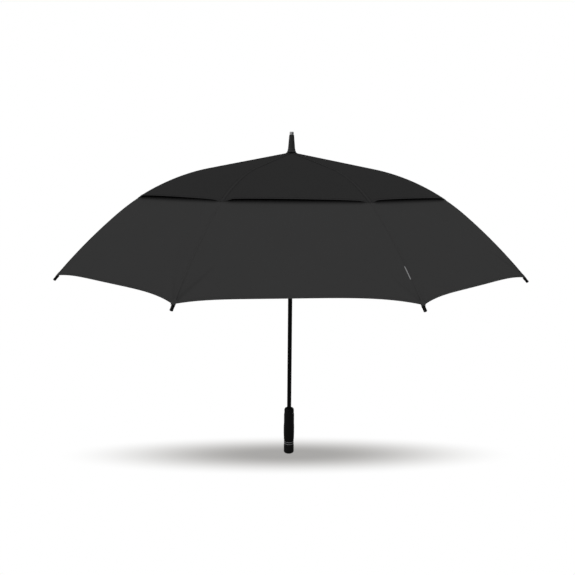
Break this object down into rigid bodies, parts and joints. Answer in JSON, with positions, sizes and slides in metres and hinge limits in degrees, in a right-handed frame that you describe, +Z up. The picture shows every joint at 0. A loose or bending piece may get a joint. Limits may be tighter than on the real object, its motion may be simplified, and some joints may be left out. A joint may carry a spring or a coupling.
{
  "type": "golf umbrella",
  "caption": "Open straight-grip golf umbrella with a vented double canopy on folding ribs, stretchers and a sliding runner.",
  "frame": {"origin": "bottom centre of the handle's end cap", "axes": "+Z up along the shaft to the finial; ribs stand at 22.5 degrees plus whole steps of 45 from +X"},
  "size_m": [1.2928, 1.2928, 1.0387],
  "materials": {
    "upper_fabric": "matt woven polyester",
    "lower_fabric": "matt woven polyester",
    "fibreglass": "smooth black fibreglass rod",
    "tip_plastic": "moulded black tip",
    "stretcher_metal": "black painted steel",
    "shaft_finish": "black coated tube",
    "black_plastic": "moulded black plastic",
    "silver_metal": "bright plated metal",
    "grip_rubber": "fine textured black rubber",
    "cap_plastic": "cross-knurled black plastic",
    "spring_steel": "bare spring steel"
  },
  "bodies": {
    "frame": {"shaft_tube": "shaft_finish", "crown": "black_plastic", "ferrule": "black_plastic", "ferrule_cap": "silver_metal", "rosette": "black_plastic", "grip": "grip_rubber", "trim_rings": "silver_metal", "end_cap": "cap_plastic", "catch_pins": "spring_steel"},
    "runner": {"runner": "black_plastic"},
    "top_catch": {"top_catch": "spring_steel"},
    "bottom_catch": {"bottom_catch": "spring_steel"},
    "rib_inner_1": {"rib_inner_1": "fibreglass"},
    "rib_outer_1": {"rib_outer_1": "fibreglass", "rib_tip_1": "tip_plastic"},
    "stretcher_1": {"stretcher_1": "stretcher_metal"},
    "canopy_top_1": {"canopy_top_1": "upper_fabric"},
    "canopy_skirt_1": {"canopy_skirt_1": "lower_fabric"},
    "rib_inner_2": {"rib_inner_2": "fibreglass"},
    "rib_outer_2": {"rib_outer_2": "fibreglass", "rib_tip_2": "tip_plastic"},
    "stretcher_2": {"stretcher_2": "stretcher_metal"},
    "canopy_top_2": {"canopy_top_2": "upper_fabric"},
    "canopy_skirt_2": {"canopy_skirt_2": "lower_fabric"},
    "rib_inner_3": {"rib_inner_3": "fibreglass"},
    "rib_outer_3": {"rib_outer_3": "fibreglass", "rib_tip_3": "tip_plastic"},
    "stretcher_3": {"stretcher_3": "stretcher_metal"},
    "canopy_top_3": {"canopy_top_3": "upper_fabric"},
    "canopy_skirt_3": {"canopy_skirt_3": "lower_fabric"},
    "rib_inner_4": {"rib_inner_4": "fibreglass"},
    "rib_outer_4": {"rib_outer_4": "fibreglass", "rib_tip_4": "tip_plastic"},
    "stretcher_4": {"stretcher_4": "stretcher_metal"},
    "canopy_top_4": {"canopy_top_4": "upper_fabric"},
    "canopy_skirt_4": {"canopy_skirt_4": "lower_fabric"},
    "rib_inner_5": {"rib_inner_5": "fibreglass"},
    "rib_outer_5": {"rib_outer_5": "fibreglass", "rib_tip_5": "tip_plastic"},
    "stretcher_5": {"stretcher_5": "stretcher_metal"},
    "canopy_top_5": {"canopy_top_5": "upper_fabric"},
    "canopy_skirt_5": {"canopy_skirt_5": "lower_fabric"},
    "rib_inner_6": {"rib_inner_6": "fibreglass"},
    "rib_outer_6": {"rib_outer_6": "fibreglass", "rib_tip_6": "tip_plastic"},
    "stretcher_6": {"stretcher_6": "stretcher_metal"},
    "canopy_top_6": {"canopy_top_6": "upper_fabric"},
    "canopy_skirt_6": {"canopy_skirt_6": "lower_fabric"},
    "rib_inner_7": {"rib_inner_7": "fibreglass"},
    "rib_outer_7": {"rib_outer_7": "fibreglass", "rib_tip_7": "tip_plastic"},
    "stretcher_7": {"stretcher_7": "stretcher_metal"},
    "canopy_top_7": {"canopy_top_7": "upper_fabric"},
    "canopy_skirt_7": {"canopy_skirt_7": "lower_fabric"},
    "rib_inner_8": {"rib_inner_8": "fibreglass"},
    "rib_outer_8": {"rib_outer_8": "fibreglass", "rib_tip_8": "tip_plastic"},
    "stretcher_8": {"stretcher_8": "stretcher_metal"},
    "canopy_top_8": {"canopy_top_8": "upper_fabric"},
    "canopy_skirt_8": {"canopy_skirt_8": "lower_fabric"}
  },
  "joints": [
    {"name": "fold", "type": "hinge", "parent": "frame", "child": "rib_inner_1", "pos_m": [0.00924, 0.00383, 0.97135], "axis": [-0.3827, 0.9239, 0], "range_deg": [0, 75], "deforming": ["top_catch", "bottom_catch", "canopy_top_1", "canopy_top_2", "canopy_top_3", "canopy_top_4", "canopy_top_5", "canopy_top_6", "canopy_top_7", "canopy_top_8", "canopy_skirt_1", "canopy_skirt_2", "canopy_skirt_3", "canopy_skirt_4", "canopy_skirt_5", "canopy_skirt_6", "canopy_skirt_7", "canopy_skirt_8"]},
    {"name": "rib_flex_1", "type": "hinge", "parent": "rib_inner_1", "child": "rib_outer_1", "pos_m": [0.34718, 0.14381, 0.88582], "axis": [-0.3827, 0.9239, 0], "range_deg": [-24.5, 0]},
    {"name": "stretcher_pivot_1", "type": "hinge", "parent": "rib_inner_1", "child": "stretcher_1", "pos_m": [0.34529, 0.14302, 0.88104], "axis": [-0.3827, 0.9239, 0], "range_deg": [-150.5, 0]},
    {"name": "canopy_fold_1", "type": "hinge", "parent": "frame", "child": "canopy_top_1", "pos_m": [0.009, 0, 0.9751], "axis": [0, 1, 0], "range_deg": [0, 69.5]},
    {"name": "skirt_fold_1", "type": "hinge", "parent": "canopy_top_1", "child": "canopy_skirt_1", "pos_m": [0.4302, 0, 0.842], "axis": [0, 1, 0], "range_deg": [-24.7, 0]},
    {"name": "rib_fold_2", "type": "hinge", "parent": "frame", "child": "rib_inner_2", "pos_m": [0.00383, 0.00924, 0.97135], "axis": [-0.9239, 0.3827, 0], "range_deg": [0, 75]},
    {"name": "rib_flex_2", "type": "hinge", "parent": "rib_inner_2", "child": "rib_outer_2", "pos_m": [0.14381, 0.34718, 0.88582], "axis": [-0.9239, 0.3827, 0], "range_deg": [-24.5, 0]},
    {"name": "stretcher_pivot_2", "type": "hinge", "parent": "rib_inner_2", "child": "stretcher_2", "pos_m": [0.14302, 0.34529, 0.88104], "axis": [-0.9239, 0.3827, 0], "range_deg": [-150.5, 0]},
    {"name": "canopy_fold_2", "type": "hinge", "parent": "frame", "child": "canopy_top_2", "pos_m": [0.00636, 0.00636, 0.9751], "axis": [-0.7071, 0.7071, 0], "range_deg": [0, 69.5]},
    {"name": "skirt_fold_2", "type": "hinge", "parent": "canopy_top_2", "child": "canopy_skirt_2", "pos_m": [0.3042, 0.3042, 0.842], "axis": [-0.7071, 0.7071, 0], "range_deg": [-24.7, 0]},
    {"name": "rib_fold_3", "type": "hinge", "parent": "frame", "child": "rib_inner_3", "pos_m": [-0.00383, 0.00924, 0.97135], "axis": [-0.9239, -0.3827, 0], "range_deg": [0, 75]},
    {"name": "rib_flex_3", "type": "hinge", "parent": "rib_inner_3", "child": "rib_outer_3", "pos_m": [-0.14381, 0.34718, 0.88582], "axis": [-0.9239, -0.3827, 0], "range_deg": [-24.5, 0]},
    {"name": "stretcher_pivot_3", "type": "hinge", "parent": "rib_inner_3", "child": "stretcher_3", "pos_m": [-0.14302, 0.34529, 0.88104], "axis": [-0.9239, -0.3827, 0], "range_deg": [-150.5, 0]},
    {"name": "canopy_fold_3", "type": "hinge", "parent": "frame", "child": "canopy_top_3", "pos_m": [0, 0.009, 0.9751], "axis": [-1, 0, 0], "range_deg": [0, 69.5]},
    {"name": "skirt_fold_3", "type": "hinge", "parent": "canopy_top_3", "child": "canopy_skirt_3", "pos_m": [0, 0.4302, 0.842], "axis": [-1, 0, 0], "range_deg": [-24.7, 0]},
    {"name": "rib_fold_4", "type": "hinge", "parent": "frame", "child": "rib_inner_4", "pos_m": [-0.00924, 0.00383, 0.97135], "axis": [-0.3827, -0.9239, 0], "range_deg": [0, 75]},
    {"name": "rib_flex_4", "type": "hinge", "parent": "rib_inner_4", "child": "rib_outer_4", "pos_m": [-0.34718, 0.14381, 0.88582], "axis": [-0.3827, -0.9239, 0], "range_deg": [-24.5, 0]},
    {"name": "stretcher_pivot_4", "type": "hinge", "parent": "rib_inner_4", "child": "stretcher_4", "pos_m": [-0.34529, 0.14302, 0.88104], "axis": [-0.3827, -0.9239, 0], "range_deg": [-150.5, 0]},
    {"name": "canopy_fold_4", "type": "hinge", "parent": "frame", "child": "canopy_top_4", "pos_m": [-0.00636, 0.00636, 0.9751], "axis": [-0.7071, -0.7071, 0], "range_deg": [0, 69.5]},
    {"name": "skirt_fold_4", "type": "hinge", "parent": "canopy_top_4", "child": "canopy_skirt_4", "pos_m": [-0.3042, 0.3042, 0.842], "axis": [-0.7071, -0.7071, 0], "range_deg": [-24.7, 0]},
    {"name": "rib_fold_5", "type": "hinge", "parent": "frame", "child": "rib_inner_5", "pos_m": [-0.00924, -0.00383, 0.97135], "axis": [0.3827, -0.9239, 0], "range_deg": [0, 75]},
    {"name": "rib_flex_5", "type": "hinge", "parent": "rib_inner_5", "child": "rib_outer_5", "pos_m": [-0.34718, -0.14381, 0.88582], "axis": [0.3827, -0.9239, 0], "range_deg": [-24.5, 0]},
    {"name": "stretcher_pivot_5", "type": "hinge", "parent": "rib_inner_5", "child": "stretcher_5", "pos_m": [-0.34529, -0.14302, 0.88104], "axis": [0.3827, -0.9239, 0], "range_deg": [-150.5, 0]},
    {"name": "canopy_fold_5", "type": "hinge", "parent": "frame", "child": "canopy_top_5", "pos_m": [-0.009, 0, 0.9751], "axis": [0, -1, 0], "range_deg": [0, 69.5]},
    {"name": "skirt_fold_5", "type": "hinge", "parent": "canopy_top_5", "child": "canopy_skirt_5", "pos_m": [-0.4302, 0, 0.842], "axis": [0, -1, 0], "range_deg": [-24.7, 0]},
    {"name": "rib_fold_6", "type": "hinge", "parent": "frame", "child": "rib_inner_6", "pos_m": [-0.00383, -0.00924, 0.97135], "axis": [0.9239, -0.3827, 0], "range_deg": [0, 75]},
    {"name": "rib_flex_6", "type": "hinge", "parent": "rib_inner_6", "child": "rib_outer_6", "pos_m": [-0.14381, -0.34718, 0.88582], "axis": [0.9239, -0.3827, 0], "range_deg": [-24.5, 0]},
    {"name": "stretcher_pivot_6", "type": "hinge", "parent": "rib_inner_6", "child": "stretcher_6", "pos_m": [-0.14302, -0.34529, 0.88104], "axis": [0.9239, -0.3827, 0], "range_deg": [-150.5, 0]},
    {"name": "canopy_fold_6", "type": "hinge", "parent": "frame", "child": "canopy_top_6", "pos_m": [-0.00636, -0.00636, 0.9751], "axis": [0.7071, -0.7071, 0], "range_deg": [0, 69.5]},
    {"name": "skirt_fold_6", "type": "hinge", "parent": "canopy_top_6", "child": "canopy_skirt_6", "pos_m": [-0.3042, -0.3042, 0.842], "axis": [0.7071, -0.7071, 0], "range_deg": [-24.7, 0]},
    {"name": "rib_fold_7", "type": "hinge", "parent": "frame", "child": "rib_inner_7", "pos_m": [0.00383, -0.00924, 0.97135], "axis": [0.9239, 0.3827, 0], "range_deg": [0, 75]},
    {"name": "rib_flex_7", "type": "hinge", "parent": "rib_inner_7", "child": "rib_outer_7", "pos_m": [0.14381, -0.34718, 0.88582], "axis": [0.9239, 0.3827, 0], "range_deg": [-24.5, 0]},
    {"name": "stretcher_pivot_7", "type": "hinge", "parent": "rib_inner_7", "child": "stretcher_7", "pos_m": [0.14302, -0.34529, 0.88104], "axis": [0.9239, 0.3827, 0], "range_deg": [-150.5, 0]},
    {"name": "canopy_fold_7", "type": "hinge", "parent": "frame", "child": "canopy_top_7", "pos_m": [0, -0.009, 0.9751], "axis": [1, 0, 0], "range_deg": [0, 69.5]},
    {"name": "skirt_fold_7", "type": "hinge", "parent": "canopy_top_7", "child": "canopy_skirt_7", "pos_m": [0, -0.4302, 0.842], "axis": [1, 0, 0], "range_deg": [-24.7, 0]},
    {"name": "rib_fold_8", "type": "hinge", "parent": "frame", "child": "rib_inner_8", "pos_m": [0.00924, -0.00383, 0.97135], "axis": [0.3827, 0.9239, 0], "range_deg": [0, 75]},
    {"name": "rib_flex_8", "type": "hinge", "parent": "rib_inner_8", "child": "rib_outer_8", "pos_m": [0.34718, -0.14381, 0.88582], "axis": [0.3827, 0.9239, 0], "range_deg": [-24.5, 0]},
    {"name": "stretcher_pivot_8", "type": "hinge", "parent": "rib_inner_8", "child": "stretcher_8", "pos_m": [0.34529, -0.14302, 0.88104], "axis": [0.3827, 0.9239, 0], "range_deg": [-150.5, 0]},
    {"name": "canopy_fold_8", "type": "hinge", "parent": "frame", "child": "canopy_top_8", "pos_m": [0.00636, -0.00636, 0.9751], "axis": [0.7071, 0.7071, 0], "range_deg": [0, 69.5]},
    {"name": "skirt_fold_8", "type": "hinge", "parent": "canopy_top_8", "child": "canopy_skirt_8", "pos_m": [0.3042, -0.3042, 0.842], "axis": [0.7071, 0.7071, 0], "range_deg": [-24.7, 0]},
    {"name": "runner_slide", "type": "hinge", "parent": "stretcher_1", "child": "runner", "pos_m": [0.00924, 0.00383, 0.79072], "axis": [-0.3827, 0.9239, 0], "range_deg": [0, 75.5]},
    {"name": "top_catch_press", "type": "hinge", "parent": "frame", "child": "top_catch", "pos_m": [0, 0.0025, 0.70777], "axis": [1, 0, 0], "range_deg": [0, 6.5], "stiffness_Nm_per_rad": 0.6},
    {"name": "bottom_catch_press", "type": "hinge", "parent": "frame", "child": "bottom_catch", "pos_m": [0, 0.0025, 0.25885], "axis": [-1, 0, 0], "range_deg": [0, 6.5], "stiffness_Nm_per_rad": 0.6}
  ],
  "couplings": [
    {"joint": "rib_flex_1", "follows": "fold", "ratio": -0.32},
    {"joint": "stretcher_pivot_1", "follows": "fold", "ratio": -2},
    {"joint": "canopy_fold_1", "follows": "fold", "ratio": 0.92},
    {"joint": "skirt_fold_1", "follows": "fold", "ratio": -0.32267},
    {"joint": "rib_fold_2", "follows": "fold", "ratio": 1},
    {"joint": "rib_flex_2", "follows": "fold", "ratio": -0.32},
    {"joint": "stretcher_pivot_2", "follows": "fold", "ratio": -2},
    {"joint": "canopy_fold_2", "follows": "fold", "ratio": 0.92},
    {"joint": "skirt_fold_2", "follows": "fold", "ratio": -0.32267},
    {"joint": "rib_fold_3", "follows": "fold", "ratio": 1},
    {"joint": "rib_flex_3", "follows": "fold", "ratio": -0.32},
    {"joint": "stretcher_pivot_3", "follows": "fold", "ratio": -2},
    {"joint": "canopy_fold_3", "follows": "fold", "ratio": 0.92},
    {"joint": "skirt_fold_3", "follows": "fold", "ratio": -0.32267},
    {"joint": "rib_fold_4", "follows": "fold", "ratio": 1},
    {"joint": "rib_flex_4", "follows": "fold", "ratio": -0.32},
    {"joint": "stretcher_pivot_4", "follows": "fold", "ratio": -2},
    {"joint": "canopy_fold_4", "follows": "fold", "ratio": 0.92},
    {"joint": "skirt_fold_4", "follows": "fold", "ratio": -0.32267},
    {"joint": "rib_fold_5", "follows": "fold", "ratio": 1},
    {"joint": "rib_flex_5", "follows": "fold", "ratio": -0.32},
    {"joint": "stretcher_pivot_5", "follows": "fold", "ratio": -2},
    {"joint": "canopy_fold_5", "follows": "fold", "ratio": 0.92},
    {"joint": "skirt_fold_5", "follows": "fold", "ratio": -0.32267},
    {"joint": "rib_fold_6", "follows": "fold", "ratio": 1},
    {"joint": "rib_flex_6", "follows": "fold", "ratio": -0.32},
    {"joint": "stretcher_pivot_6", "follows": "fold", "ratio": -2},
    {"joint": "canopy_fold_6", "follows": "fold", "ratio": 0.92},
    {"joint": "skirt_fold_6", "follows": "fold", "ratio": -0.32267},
    {"joint": "rib_fold_7", "follows": "fold", "ratio": 1},
    {"joint": "rib_flex_7", "follows": "fold", "ratio": -0.32},
    {"joint": "stretcher_pivot_7", "follows": "fold", "ratio": -2},
    {"joint": "canopy_fold_7", "follows": "fold", "ratio": 0.92},
    {"joint": "skirt_fold_7", "follows": "fold", "ratio": -0.32267},
    {"joint": "rib_fold_8", "follows": "fold", "ratio": 1},
    {"joint": "rib_flex_8", "follows": "fold", "ratio": -0.32},
    {"joint": "stretcher_pivot_8", "follows": "fold", "ratio": -2},
    {"joint": "canopy_fold_8", "follows": "fold", "ratio": 0.92},
    {"joint": "skirt_fold_8", "follows": "fold", "ratio": -0.32267},
    {"joint": "runner_slide", "follows": "fold", "ratio": 1}
  ]
}
